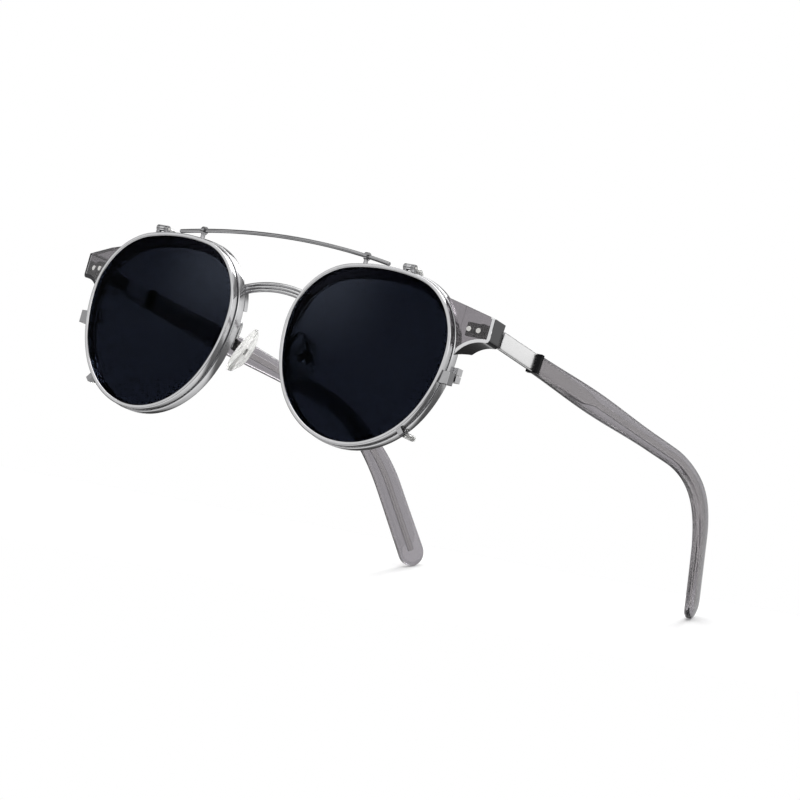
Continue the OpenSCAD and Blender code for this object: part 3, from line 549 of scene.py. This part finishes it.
# Flip front. Two dark lenses in slim bright rims, joined by the arched bar that runs through an
# eyelet on each rim. It hangs on two small hinges and turns up off the clear lenses.
CLIP_INSET = 0.35
CLIP_T = 1.0
CLIP_EDGE = 0.25
CLIP_FRONT = -0.2
CLIP_BACK = 1.5
DARK_T = 1.0
DARK_GROW = 0.02
DARK_EDGE_R = ring_w / 2 - 0.3
THIN_FROM_Z = (0.018, 0.042)
THIN_FROM_X = (0.042, 0.014)
TINT_DEEP = (0.0066, 0.0082, 0.0142, 1)
TINT_THIN = (0.030, 0.035, 0.048, 1)
clip_arcs = lens_arcs(ring_w - 2 * CLIP_INSET, ring_h - 2 * CLIP_INSET, CORNER_R - CLIP_INSET)


def dark_glass_finish():
    """Blue-black tint that only a trace of light passes, a little thinner at the top beside the nose."""
    material = finish("dark lens", (0.01, 0.01, 0.01), rough=0.0, spread=0.004, marks=120.0,
                      transmission=1.0, ior=1.04)
    tree = material.node_tree
    coord = tree.nodes.new("ShaderNodeTexCoord")
    split = tree.nodes.new("ShaderNodeSeparateXYZ")
    tree.links.new(coord.outputs["Object"], split.inputs[0])
    beside = maths(tree, "ABSOLUTE", split.outputs["X"])
    rise = mapped(tree, split.outputs["Z"], THIN_FROM_Z, (0.0, 1.0), "SMOOTHSTEP")
    near_nose = mapped(tree, beside, THIN_FROM_X, (0.0, 1.0), "SMOOTHSTEP")
    tint = blended(tree, maths(tree, "MULTIPLY", rise, near_nose), TINT_DEEP, TINT_THIN)
    tree.links.new(tint, tree.nodes["Principled BSDF"].inputs["Base Color"])
    return material


dark_tint = dark_glass_finish()
# Painted shade darkens the clip wire on all but the faces turned straight to the eye.
clip_metal = finish("bright clip wire", (0.55, 0.55, 0.56), rough=0.1, spread=0.12, marks=900.0,
                    metallic=1.0, tint=0.25, edge=0.98, turned=(0.12, 0.6))


def flip_rim(side, mirror):
    verts, faces = closed_band(clip_arcs, rounded_bar(CLIP_T, CLIP_FRONT, CLIP_BACK, CLIP_EDGE))
    piece = make_piece(side + " flip rim", verts, faces, mirror @ lens_place, polished_metal)
    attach(piece, "flip_front")
    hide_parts(side + "_flip_rim")


def dark_lens(side, mirror):
    edge_y = (CLIP_FRONT + CLIP_BACK) / 2 - DARK_T / 2
    verts, faces = lens_disc(clip_arcs, DARK_GROW, 0.0, DARK_T, edge_y, DARK_EDGE_R)
    piece = make_piece(side + " dark lens", verts, faces, mirror @ lens_place, dark_tint)
    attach(piece, "flip_front")
    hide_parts(side + "_dark_lens")


both_sides(flip_rim)
both_sides(dark_lens)
from_cad("top_bar", clip_metal, "flip_front", bevel=0.15)
for side in ("left", "right"):
    for part in ("eyelet", "flip_barrels", "finger_tab", "lower_prong"):
        from_cad(side + "_" + part, clip_metal, "flip_front", bevel=0.08)


# Clear tubes pushed over the hooks and the lower prongs, so that the metal doesn't scratch the
# rims. Soft see-through plastic.
for side in ("left", "right"):
    from_cad(side + "_hook_tube", clear_silicone, "front", bevel=0.05)
    from_cad(side + "_prong_tube", clear_silicone, "flip_front", bevel=0.05)


# Stage: a white table, seen only from above, and a small white slope under the temple tips,
# which takes their shadows at the slant that the photo's shadows have.
SLOPE = radians(27.0)
SLOPE_HALF = 0.3
SLOPE_NEAR = -0.045
SLOPE_FAR = 0.02
SLOPE_DROP = 0.0001
TABLE_HALF = 0.6
TABLE_DROP = 0.0002
ALBEDO_SPREAD = 0.01


def reflected_rays():
    """Node group: a mask of the rays that a surface has thrown back, without those let through it."""
    group = bpy.data.node_groups.new("reflected rays", "ShaderNodeTree")
    group.interface.new_socket("Mask", in_out="OUTPUT", socket_type="NodeSocketFloat")
    path = group.nodes.new("ShaderNodeLightPath")
    mask = maths(group, "SUBTRACT", path.outputs["Is Glossy Ray"], path.outputs["Is Transmission Ray"],
                 clamp=True)
    result = group.nodes.new("NodeGroupOutput")
    group.links.new(mask, result.inputs["Mask"])
    return group


mirror_rays = reflected_rays()


def white_ground(name, glow, albedo):
    """White with soft shadows from above; from below and in reflections the room shows instead."""
    material = bpy.data.materials.new(name)
    material.use_nodes = True
    tree = material.node_tree
    tree.nodes.remove(tree.nodes["Principled BSDF"])
    path = tree.nodes.new("ShaderNodeLightPath")
    geometry = tree.nodes.new("ShaderNodeNewGeometry")
    noise = tree.nodes.new("ShaderNodeTexNoise")
    noise.inputs["Scale"].default_value = 40.0
    diffuse = tree.nodes.new("ShaderNodeBsdfDiffuse")
    emission = tree.nodes.new("ShaderNodeEmission")
    clear = tree.nodes.new("ShaderNodeBsdfTransparent")
    add = tree.nodes.new("ShaderNodeAddShader")
    choose = tree.nodes.new("ShaderNodeMixShader")
    shade = mapped(tree, noise.outputs["Fac"], (0.0, 1.0),
                   (albedo - ALBEDO_SPREAD, albedo + ALBEDO_SPREAD))
    seen = maths(tree, "MAXIMUM", path.outputs["Is Camera Ray"], path.outputs["Is Transmission Ray"])
    reflected = holding(tree, mirror_rays).outputs["Mask"]
    unseen = maths(tree, "MAXIMUM", geometry.outputs["Backfacing"], reflected)
    tree.links.new(shade, diffuse.inputs["Color"])
    tree.links.new(maths(tree, "MULTIPLY", seen, glow), emission.inputs["Strength"])
    tree.links.new(diffuse.outputs[0], add.inputs[0])
    tree.links.new(emission.outputs[0], add.inputs[1])
    tree.links.new(unseen, choose.inputs[0])
    tree.links.new(add.outputs[0], choose.inputs[1])
    tree.links.new(clear.outputs[0], choose.inputs[2])
    tree.links.new(choose.outputs[0], tree.nodes["Material Output"].inputs["Surface"])
    return material


def ground(name, corners, material):
    mesh = bpy.data.meshes.new(name)
    mesh.from_pydata(corners, [], [(0, 1, 2, 3)])
    mesh.materials.append(material)
    obj = bpy.data.objects.new(name, mesh)
    bpy.context.collection.objects.link(obj)


ground("table", [(-TABLE_HALF, -TABLE_HALF, -TABLE_DROP), (TABLE_HALF, -TABLE_HALF, -TABLE_DROP),
                 (TABLE_HALF, TABLE_HALF, -TABLE_DROP), (-TABLE_HALF, TABLE_HALF, -TABLE_DROP)],
       white_ground("white table", glow=0.2, albedo=0.65))
sleeve_low, sleeve_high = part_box("left_temple_sleeve")
tip_r = TIP_H / 2 * MM
tip_y, tip_z = sleeve_high.y - tip_r * (1 - sin(SLOPE)), sleeve_low.z + tip_r * (1 - cos(SLOPE))
ground("slope", [(x, tip_y + d * cos(SLOPE), tip_z + d * sin(SLOPE) - SLOPE_DROP)
                 for x, d in ((-SLOPE_HALF, SLOPE_NEAR), (SLOPE_HALF, SLOPE_NEAR),
                              (SLOPE_HALF, SLOPE_FAR), (-SLOPE_HALF, SLOPE_FAR))],
       white_ground("white slope", glow=0.08, albedo=0.85))


# Studio light: a broad soft box high over the glasses, a weak fill from the side, a box behind, and
# a white room, whose lighter and darker bands show only in reflections.
LIT_POINT = Vector((0, 0, 0.02))
LIGHT_LEVEL = 0.65
SEEN_LEVEL = 1.0


def soft_box(name, place, size, power):
    light = bpy.data.lights.new(name, "AREA")
    light.size = size
    light.energy = power
    obj = bpy.data.objects.new(name, light)
    obj.location = place
    obj.rotation_euler = (LIT_POINT - Vector(place)).to_track_quat("-Z", "Y").to_euler()
    bpy.context.collection.objects.link(obj)


soft_box("key", (-0.25, -0.5, 1.45), 1.5, power=12.0)
soft_box("fill", (1.1, -0.7, 0.5), 0.8, power=1.5)
soft_box("rear", (-0.15, 0.9, 1.3), 0.7, power=13.0)

world = bpy.data.worlds.new("white room")
bpy.context.scene.world = world
world.use_nodes = True
room = world.node_tree
room_path = room.nodes.new("ShaderNodeLightPath")
around = room.nodes.new("ShaderNodeTexCoord")
height = room.nodes.new("ShaderNodeSeparateXYZ")
room.links.new(around.outputs["Generated"], height.inputs[0])

# The bands by the height of the direction: (-1 straight down to 1 straight up, brightness)
bands = ((-1.0, 1.0), (-0.62, 1.0), (-0.45, 0.16), (-0.2, 0.2), (-0.08, 0.8),
         (0.3, 1.0), (0.46, 0.9), (0.58, 0.2), (0.68, 0.3), (0.8, 1.0))
cards = room.nodes.new("ShaderNodeValToRGB")
cards.color_ramp.interpolation = "EASE"
while len(cards.color_ramp.elements) < len(bands):
    cards.color_ramp.elements.new(0.5)
for element, (z, shade) in zip(cards.color_ramp.elements, bands):
    element.position = (z + 1) / 2
    element.color = (shade, shade, shade, 1)
room.links.new(mapped(room, height.outputs["Z"], (-1.0, 1.0), (0.0, 1.0)), cards.inputs["Fac"])
reflected = holding(room, mirror_rays).outputs["Mask"]
room_colour = blended(room, reflected, (1, 1, 1, 1), cards.outputs["Color"])
seen = maths(room, "MAXIMUM", room_path.outputs["Is Camera Ray"], room_path.outputs["Is Glossy Ray"])
seen = maths(room, "MAXIMUM", seen, room_path.outputs["Is Transmission Ray"])
room_level = mapped(room, seen, (0.0, 1.0), (LIGHT_LEVEL, SEEN_LEVEL))
background = room.nodes["Background"]
room.links.new(room_colour, background.inputs["Color"])
room.links.new(room_level, background.inputs["Strength"])


# Camera, where the photo's camera stood: far off with a long lens, a little below the rims. It is
# placed from the front of the glasses, in metres and radians.
CAMERA_AT = Vector((1.286537, -1.477820, -0.252255))
CAMERA_TURN = (1.7009939, -0.2725666, 0.6614763)
PHOTO_FOCAL_PX = 7947.8
PHOTO_PX = 800
camera_data = bpy.data.cameras.new("camera")
camera_data.sensor_width = 36.0
camera_data.lens = PHOTO_FOCAL_PX * camera_data.sensor_width / PHOTO_PX
camera_data.clip_end = 20.0
camera = bpy.data.objects.new("camera", camera_data)
camera.matrix_world = front_place @ Matrix.Translation(CAMERA_AT) @ Euler(CAMERA_TURN).to_matrix().to_4x4()
bpy.context.collection.objects.link(camera)
bpy.context.scene.camera = camera
bpy.context.scene.view_settings.view_transform = "Standard"
